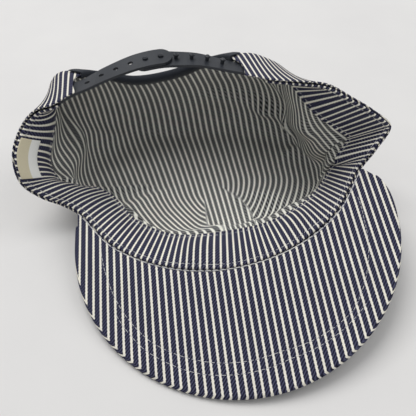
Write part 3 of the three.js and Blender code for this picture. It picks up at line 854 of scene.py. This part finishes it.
# %% [markdown]
# Two rows run round the brim, one runs along each edge of the sweatband, and a thicker thread follows the
# seam between brim and crown. They use the lines and the faces made above, so they sit in their grooves.


# %% The rows
SEAM_THREAD = {"pitch": 4.2, "gap": 0.2, "radius": 0.34}
SEAM_THREAD_OUT, SEAM_THREAD_DOWN = 0.75, 0.2
THREAD_LIFT = 0.05


def on_brim(line, sunk_by):
    """A line on the top of the brim, and the direction away from the brim along it."""
    away = [-math.tan(BRIM_ROLL), -math.tan(BRIM_PITCH), 1.0]
    height = brim_top(line[:, 0], line[:, 1]) - sunk_by
    return np.column_stack([line, height]), np.broadcast_to(away, (len(line), 3))


threads = []
for name, line in zip(("brim_thread_inner", "brim_thread_outer"), brim_lines):
    threads.append(stitch_row(name, *on_brim(line, SINK_DEPTH * 0.8), "brim_twill"))
row_around = np.arange(arch_end + STRAP_TUCK + 1, arch_end + RING - ARCH_WIDTH - STRAP_TUCK - 1, 0.8)
for name, at in zip(("band_thread_edge", "band_thread_hem"), BAND_ROWS_AT):
    row_down = np.full((len(row_around), 1), at)
    line = cloth(row_around, row_down, band_face(row_around, row_down) + THREAD_LIFT)[:, 0]
    threads.append(stitch_row(name, line, inwards(row_around, row_down)[:, 0], "band_twill"))
seam_line = front_edge(np.linspace(0.01, 0.99, 400))
seam_line = seam_line + SEAM_THREAD_OUT * out_of(seam_line)
line, away = on_brim(seam_line, SEAM_THREAD_DOWN)
threads.append(stitch_row("seam_thread", line, away, "brim_twill", **SEAM_THREAD))
print("rows of thread:", len(threads))

# %% [markdown]
# The stripes are woven in, so they are painted from the place in the cloth. One node group gives the
# slanting ribs of the twill and one gives the stripes, whose edges are stepped by those same ribs. An
# image could do this too, but groups keep the pitch in real millimetres and can be changed by a number.


# %% Node helpers
def new_group(name, inputs, outputs):
    """A node group with (name, default) inputs, where no default means a vector, and float outputs."""
    group = bpy.data.node_groups.new(name, "ShaderNodeTree")
    for label_of, value in inputs:
        kind = "NodeSocketVector" if value is None else "NodeSocketFloat"
        socket = group.interface.new_socket(label_of, in_out="INPUT", socket_type=kind)
        if value is not None:
            socket.default_value = value
    for label_of in outputs:
        group.interface.new_socket(label_of, in_out="OUTPUT", socket_type="NodeSocketFloat")
    return group, group.nodes.new("NodeGroupInput").outputs, group.nodes.new("NodeGroupOutput").inputs


def math_node(tree, operation, first, second=None, third=None, clamp=False):
    """The result of a sum, where each term is a number or another node's output."""
    node = tree.nodes.new("ShaderNodeMath")
    node.operation = operation
    node.use_clamp = clamp
    for k, value in enumerate((first, second, third)):
        if isinstance(value, (int, float)):
            node.inputs[k].default_value = value
        elif value is not None:
            tree.links.new(value, node.inputs[k])
    return node.outputs[0]


def noise_node(tree, vector, scale, detail=2.0):
    node = tree.nodes.new("ShaderNodeTexNoise")
    node.inputs["Scale"].default_value = scale
    node.inputs["Detail"].default_value = detail
    tree.links.new(vector, node.inputs["Vector"])
    return node.outputs["Fac"]


def mix_colours(tree, factor, first, second, how="MIX"):
    """The mix of two colours, each given as three numbers or another node's output."""
    node = tree.nodes.new("ShaderNodeMix")
    node.data_type = "RGBA"
    node.blend_type = how
    for key, value in (("Factor", factor), ("A", first), ("B", second)):
        socket = next(s for s in node.inputs if s.name == key and s.enabled)
        if isinstance(value, tuple):
            socket.default_value = (*value, 1)
        elif isinstance(value, (int, float)):
            socket.default_value = value
        else:
            tree.links.new(value, socket)
    return next(s for s in node.outputs if s.enabled)


def in_parts(tree, vector):
    """The X and the Y of a vector."""
    node = tree.nodes.new("ShaderNodeSeparateXYZ")
    tree.links.new(vector, node.inputs[0])
    return node.outputs["X"], node.outputs["Y"]


def use_group(tree, group, vector, **values):
    """The outputs of a node group that is placed in a material with its own values."""
    node = tree.nodes.new("ShaderNodeGroup")
    node.node_tree = group
    tree.links.new(vector, node.inputs["Place"])
    for key, value in values.items():
        node.inputs[key].default_value = value
    return node.outputs


# %% Twill group
twill, given, result = new_group(
    "twill_ribs",
    [("Place", None), ("Spacing", 2.1), ("Slant", 1.2)],
    ["Rib", "Step", "Wear"],
)
x_of, y_of = in_parts(twill, given["Place"])
jitter = math_node(twill, "MULTIPLY_ADD", noise_node(twill, given["Place"], 0.9), 0.3, -0.15)
height = math_node(twill, "ADD", math_node(twill, "MULTIPLY_ADD", x_of, given["Slant"], y_of), jitter)
step = math_node(twill, "FRACT", math_node(twill, "DIVIDE", height, given["Spacing"]))
ridge = math_node(twill, "ABSOLUTE", math_node(twill, "MULTIPLY_ADD", step, 2.0, -1.0))
grain = math_node(twill, "MULTIPLY_ADD", noise_node(twill, given["Place"], 2.4, 3.0), 0.8, -0.4)
twill.links.new(math_node(twill, "ADD", ridge, grain, clamp=True), result["Rib"])
twill.links.new(step, result["Step"])
twill.links.new(noise_node(twill, given["Place"], 0.06, 4.0), result["Wear"])
print("group:", twill.name)

# %% Stripe group
stripes, given, result = new_group(
    "woven_stripes",
    [
        ("Place", None), ("Step", 0.0), ("Pitch", STRIPE_PITCH),
        ("Width", 1.1), ("Softness", 0.2), ("Stepping", 0.25),
    ],
    ["Mask"],
)
x_of, y_of = in_parts(stripes, given["Place"])
ragged = math_node(stripes, "MULTIPLY_ADD", noise_node(stripes, given["Place"], 1.1), 0.3, -0.15)
across = math_node(stripes, "ADD", x_of, ragged)
across = math_node(stripes, "MULTIPLY_ADD", given["Step"], given["Stepping"], across)
part = math_node(stripes, "FRACT", math_node(stripes, "DIVIDE", across, given["Pitch"]))
side = math_node(stripes, "ABSOLUTE", math_node(stripes, "SUBTRACT", part, 0.5))
distance = math_node(stripes, "MULTIPLY", side, given["Pitch"])
over = math_node(stripes, "SUBTRACT", math_node(stripes, "MULTIPLY", given["Width"], 0.5), distance)
ramp = math_node(stripes, "DIVIDE", over, given["Softness"])
stripes.links.new(math_node(stripes, "ADD", ramp, 0.5, clamp=True), result["Mask"])
print("group:", stripes.name)


# %% [markdown]
# The right side of the twill is mostly navy with small paler flecks between the ribs. The wrong side,
# seen inside the crown, shows much more of the white weft, as slanting dashes the other way. One function
# makes both from a ground, a fleck and a stripe colour, and darkens the grooves between the ribs as painted
# shade. A little sheen stands for the fuzz of cotton.


# %% Helpers of the materials
def linear(red, green, blue):
    """A colour read as 0 to 255 on a screen, as the linear values that shading needs."""
    shares = [value / 255 for value in (red, green, blue)]
    return tuple(share / 12.92 if share < 0.0405 else ((share + 0.055) / 1.055) ** 2.4 for share in shares)


def bare_material(name, roughness, sheen=0.0):
    material = bpy.data.materials.new(name)
    material.use_nodes = True
    shader = material.node_tree.nodes["Principled BSDF"]
    shader.inputs["Roughness"].default_value = roughness
    shader.inputs["Sheen Weight"].default_value = sheen
    shader.inputs["Sheen Roughness"].default_value = 0.5
    return material, material.node_tree, shader.inputs


def add_bump(tree, into, height, distance, strength=0.4):
    """Relief on a shader, with the distance in metres."""
    bump = tree.nodes.new("ShaderNodeBump")
    bump.inputs["Strength"].default_value = strength
    bump.inputs["Distance"].default_value = distance
    tree.links.new(height, bump.inputs["Height"])
    tree.links.new(bump.outputs["Normal"], into["Normal"])


def cloth_place(tree):
    """The place in the cloth, in millimetres."""
    node = tree.nodes.new("ShaderNodeUVMap")
    node.uv_map = "Cloth"
    return node.outputs["UV"]


def shaded(tree, colour, value):
    """A colour made darker by a value between zero and about one."""
    grey = tree.nodes.new("ShaderNodeCombineColor")
    for key in ("Red", "Green", "Blue"):
        tree.links.new(value, grey.inputs[key])
    return mix_colours(tree, 1.0, colour, grey.outputs["Color"], "MULTIPLY")


# %% Cloth of the crown, band and brim
def cloth_material(name, ground, fleck, stripe, fleck_share, width, softness, spacing, slant):
    """Striped twill: width, softness and spacing in millimetres, slant as the climb of its ribs."""
    material, tree, into = bare_material(name, 0.95, 0.03)
    into["Specular IOR Level"].default_value = 0.25
    place = cloth_place(tree)
    weave = use_group(tree, twill, place, Spacing=spacing, Slant=slant)
    lines = use_group(tree, stripes, place, Width=width, Softness=softness)
    tree.links.new(weave["Step"], lines["Mask"].node.inputs["Step"])
    flecks = math_node(tree, "MULTIPLY", math_node(tree, "POWER", weave["Rib"], 1.5), fleck_share)
    colour = mix_colours(tree, flecks, ground, fleck)
    colour = mix_colours(tree, lines["Mask"], colour, stripe)
    # painted shade: the colour is darker in the grooves between the ribs and lighter on their tops; the
    # slow wear noise varies the tone at random
    value = math_node(tree, "MULTIPLY_ADD", weave["Rib"], 0.12, 0.9)
    value = math_node(tree, "MULTIPLY", value, math_node(tree, "MULTIPLY_ADD", weave["Wear"], 0.3, 0.84))
    tree.links.new(shaded(tree, colour, value), into["Base Color"])
    add_bump(tree, into, weave["Rib"], 0.00025)
    return material


NAVY, PALE_NAVY, CREAM = linear(11, 11, 38), linear(118, 120, 150), linear(248, 243, 228)
DARK_WEFT, WHITE_WEFT, WHITE = linear(16, 18, 26), linear(190, 190, 188), linear(255, 253, 242)
twill_out = cloth_material(
    "navy_twill", NAVY, PALE_NAVY, CREAM,
    fleck_share=0.45, width=1.2, softness=0.25, spacing=2.1, slant=-1.2,
)
twill_in = cloth_material(
    "twill_wrong_side", DARK_WEFT, WHITE_WEFT, WHITE,
    fleck_share=0.74, width=1.45, softness=0.35, spacing=2.7, slant=1.2,
)
for thing, lining in ((crown, twill_in), (band, twill_out), (brim, twill_out)):
    thing.data.materials.append(twill_out)
    thing.data.materials.append(lining)
print("cloth materials:", twill_out.name, twill_in.name)


# %% [markdown]
# Thread is twisted cotton. Its twist is too fine to model, so a small noise makes the colour and the relief
# uneven, and the round tubes of the stitches do the rest.

# %% Thread
thread_finish, tree, into = bare_material("cream_thread", 0.7, 0.1)
object_place = tree.nodes.new("ShaderNodeTexCoord").outputs["Object"]
twist = noise_node(tree, object_place, 2500, 1.0)
tree.links.new(mix_colours(tree, twist, linear(178, 178, 186), linear(238, 236, 232)), into["Base Color"])
add_bump(tree, into, twist, 0.0001)
for thing in threads:
    thing.data.materials.append(thread_finish)
print("finish:", thread_finish.name)

# %% [markdown]
# The tape is a dark ribbon with fine ribs straight across it. The twill's own group makes them too, with no
# slant and a smaller spacing.

# %% Tape
tape_finish, tree, into = bare_material("dark_tape", 0.8, 0.08)
ribs = use_group(tree, twill, cloth_place(tree), Spacing=0.6, Slant=0.0)
tree.links.new(mix_colours(tree, ribs["Rib"], linear(14, 17, 24), linear(38, 44, 56)), into["Base Color"])
add_bump(tree, into, ribs["Rib"], 0.0002)
# one slot for each side of the body
tape.data.materials.append(tape_finish)
tape.data.materials.append(tape_finish)
print("finish:", tape_finish.name)

# %% [markdown]
# The label is a blank woven tab. It is tan on the half at the edge of the mouth and nearly white on the
# other. One ramp along its height parts the two, and the twill's group gives it a fine weave.

# %% Label
label_finish, tree, into = bare_material("label_weave", 0.85)
place = cloth_place(tree)
weave = use_group(tree, twill, place, Spacing=0.5, Slant=1.0)
x_of, y_of = in_parts(tree, place)
inner_half = math_node(tree, "MULTIPLY_ADD", y_of, 3.0, -19.0, clamp=True)
colour = mix_colours(tree, inner_half, linear(222, 212, 182), linear(246, 245, 240))
# painted shade: the grooves of the weave are darker than its ribs
value = math_node(tree, "MULTIPLY_ADD", weave["Rib"], 0.15, 0.85)
tree.links.new(shaded(tree, colour, value), into["Base Color"])
add_bump(tree, into, weave["Rib"], 0.0001)
label.data.materials.append(label_finish)
label.data.materials.append(label_finish)
print("finish:", label_finish.name)

# %% [markdown]
# The strap is moulded plastic. It is satin, with a fine pebble from the mould, and wear makes its gloss and
# its grey a little cloudy. Its two halves keep the bodies that CAD made, so only their material changes.

# %% Strap
plastic, tree, into = bare_material("charcoal_plastic", 0.4)
object_place = tree.nodes.new("ShaderNodeTexCoord").outputs["Object"]
cloudy, pebble = noise_node(tree, object_place, 60, 4.0), noise_node(tree, object_place, 1800, 2.0)
tree.links.new(mix_colours(tree, cloudy, linear(27, 30, 36), linear(44, 48, 55)), into["Base Color"])
tree.links.new(math_node(tree, "MULTIPLY_ADD", cloudy, 0.25, 0.3), into["Roughness"])
add_bump(tree, into, pebble, 0.00006, 0.3)
for name in ("strap_holes", "strap_pegs"):
    solid = frame["nodes"][name]
    solid.data.materials.clear()
    solid.data.materials.append(plastic)
print("finish:", plastic.name)

# %% [markdown]
# The cap lies on a pale table. A large plane stands for it, with a faint mottle so that it isn't a flat
# colour. It belongs to the picture and not to the cap, so it is not attached to the cap's body.

# %% Floor
FLOOR_REACH = 3
corners = [(-FLOOR_REACH, -FLOOR_REACH, 0), (FLOOR_REACH, -FLOOR_REACH, 0),
           (FLOOR_REACH, FLOOR_REACH, 0), (-FLOOR_REACH, FLOOR_REACH, 0)]
floor_mesh = bpy.data.meshes.new("floor")
floor_mesh.from_pydata(corners, [], [(0, 1, 2, 3)])
floor = bpy.data.objects.new("floor", floor_mesh)
bpy.context.scene.collection.objects.link(floor)
floor_finish, tree, into = bare_material("pale_floor", 0.8)
mottle = noise_node(tree, tree.nodes.new("ShaderNodeTexCoord").outputs["Object"], 14, 5.0)
tree.links.new(mix_colours(tree, mottle, linear(223, 221, 219), linear(233, 231, 228)), into["Base Color"])
floor.data.materials.append(floor_finish)
print("floor: %d m wide" % (2 * FLOOR_REACH))

# %% [markdown]
# The daylight in the photo is soft and comes from behind, high and a little to the left. A wide lamp far
# away gives it, a weaker one at the right stands for a pale wall, and a dim sky fills the shadows.


# %% Light
def lamp(name, place, size, power):
    """A square lamp that points at the cap."""
    data = bpy.data.lights.new(name, "AREA")
    data.energy, data.size = power, size
    thing = bpy.data.objects.new(name, data)
    thing.location = place
    thing.rotation_euler = (-Vector(place)).to_track_quat("-Z", "Y").to_euler()
    bpy.context.scene.collection.objects.link(thing)
    print("lamp %s: %d W" % (name, power))


lamp("window", (-0.8, 1.2, 2.7), 2.2, 53)
lamp("wall", (2.0, 0.5, 2.2), 1.8, 13)
world = bpy.data.worlds.new("soft_room")
world.use_nodes = True
world.node_tree.nodes["Background"].inputs[0].default_value = (0.95, 0.97, 1.0, 1)
world.node_tree.nodes["Background"].inputs[1].default_value = 0.46
bpy.context.scene.world = world
bpy.context.scene.view_settings.view_transform = "Standard"

# %% [markdown]
# The camera looks down at the cap from in front. Its place, its direction and its focal length are matched
# to the photo. The place is given from the cap's own zero, so the picture stays if the frame's zero moves.

# %% Camera
SENSOR_WIDTH = 36
PHOTO_WIDTH, FOCAL_LENGTH_IN_PIXELS = 416, 571
CAMERA_PLACE = (-0.034, -0.250, 0.2708)
camera_data = bpy.data.cameras.new("camera")
camera_data.lens = SENSOR_WIDTH * FOCAL_LENGTH_IN_PIXELS / PHOTO_WIDTH
camera_data.sensor_width = SENSOR_WIDTH
camera = bpy.data.objects.new("camera", camera_data)
bpy.context.scene.collection.objects.link(camera)
forward = Vector((0.0739, 0.6904, -0.7196)).normalized()
right = Vector((0.993, -0.1147, -0.0080))
right = (right - right.dot(forward) * forward).normalized()
upwards = right.cross(forward)
camera_turn = Matrix((right, upwards, -forward)).transposed().to_4x4()
camera.matrix_world = Matrix.Translation(Vector(CAMERA_PLACE) + shift) @ camera_turn
bpy.context.scene.camera = camera
print("camera: %.0f mm lens" % camera_data.lens)
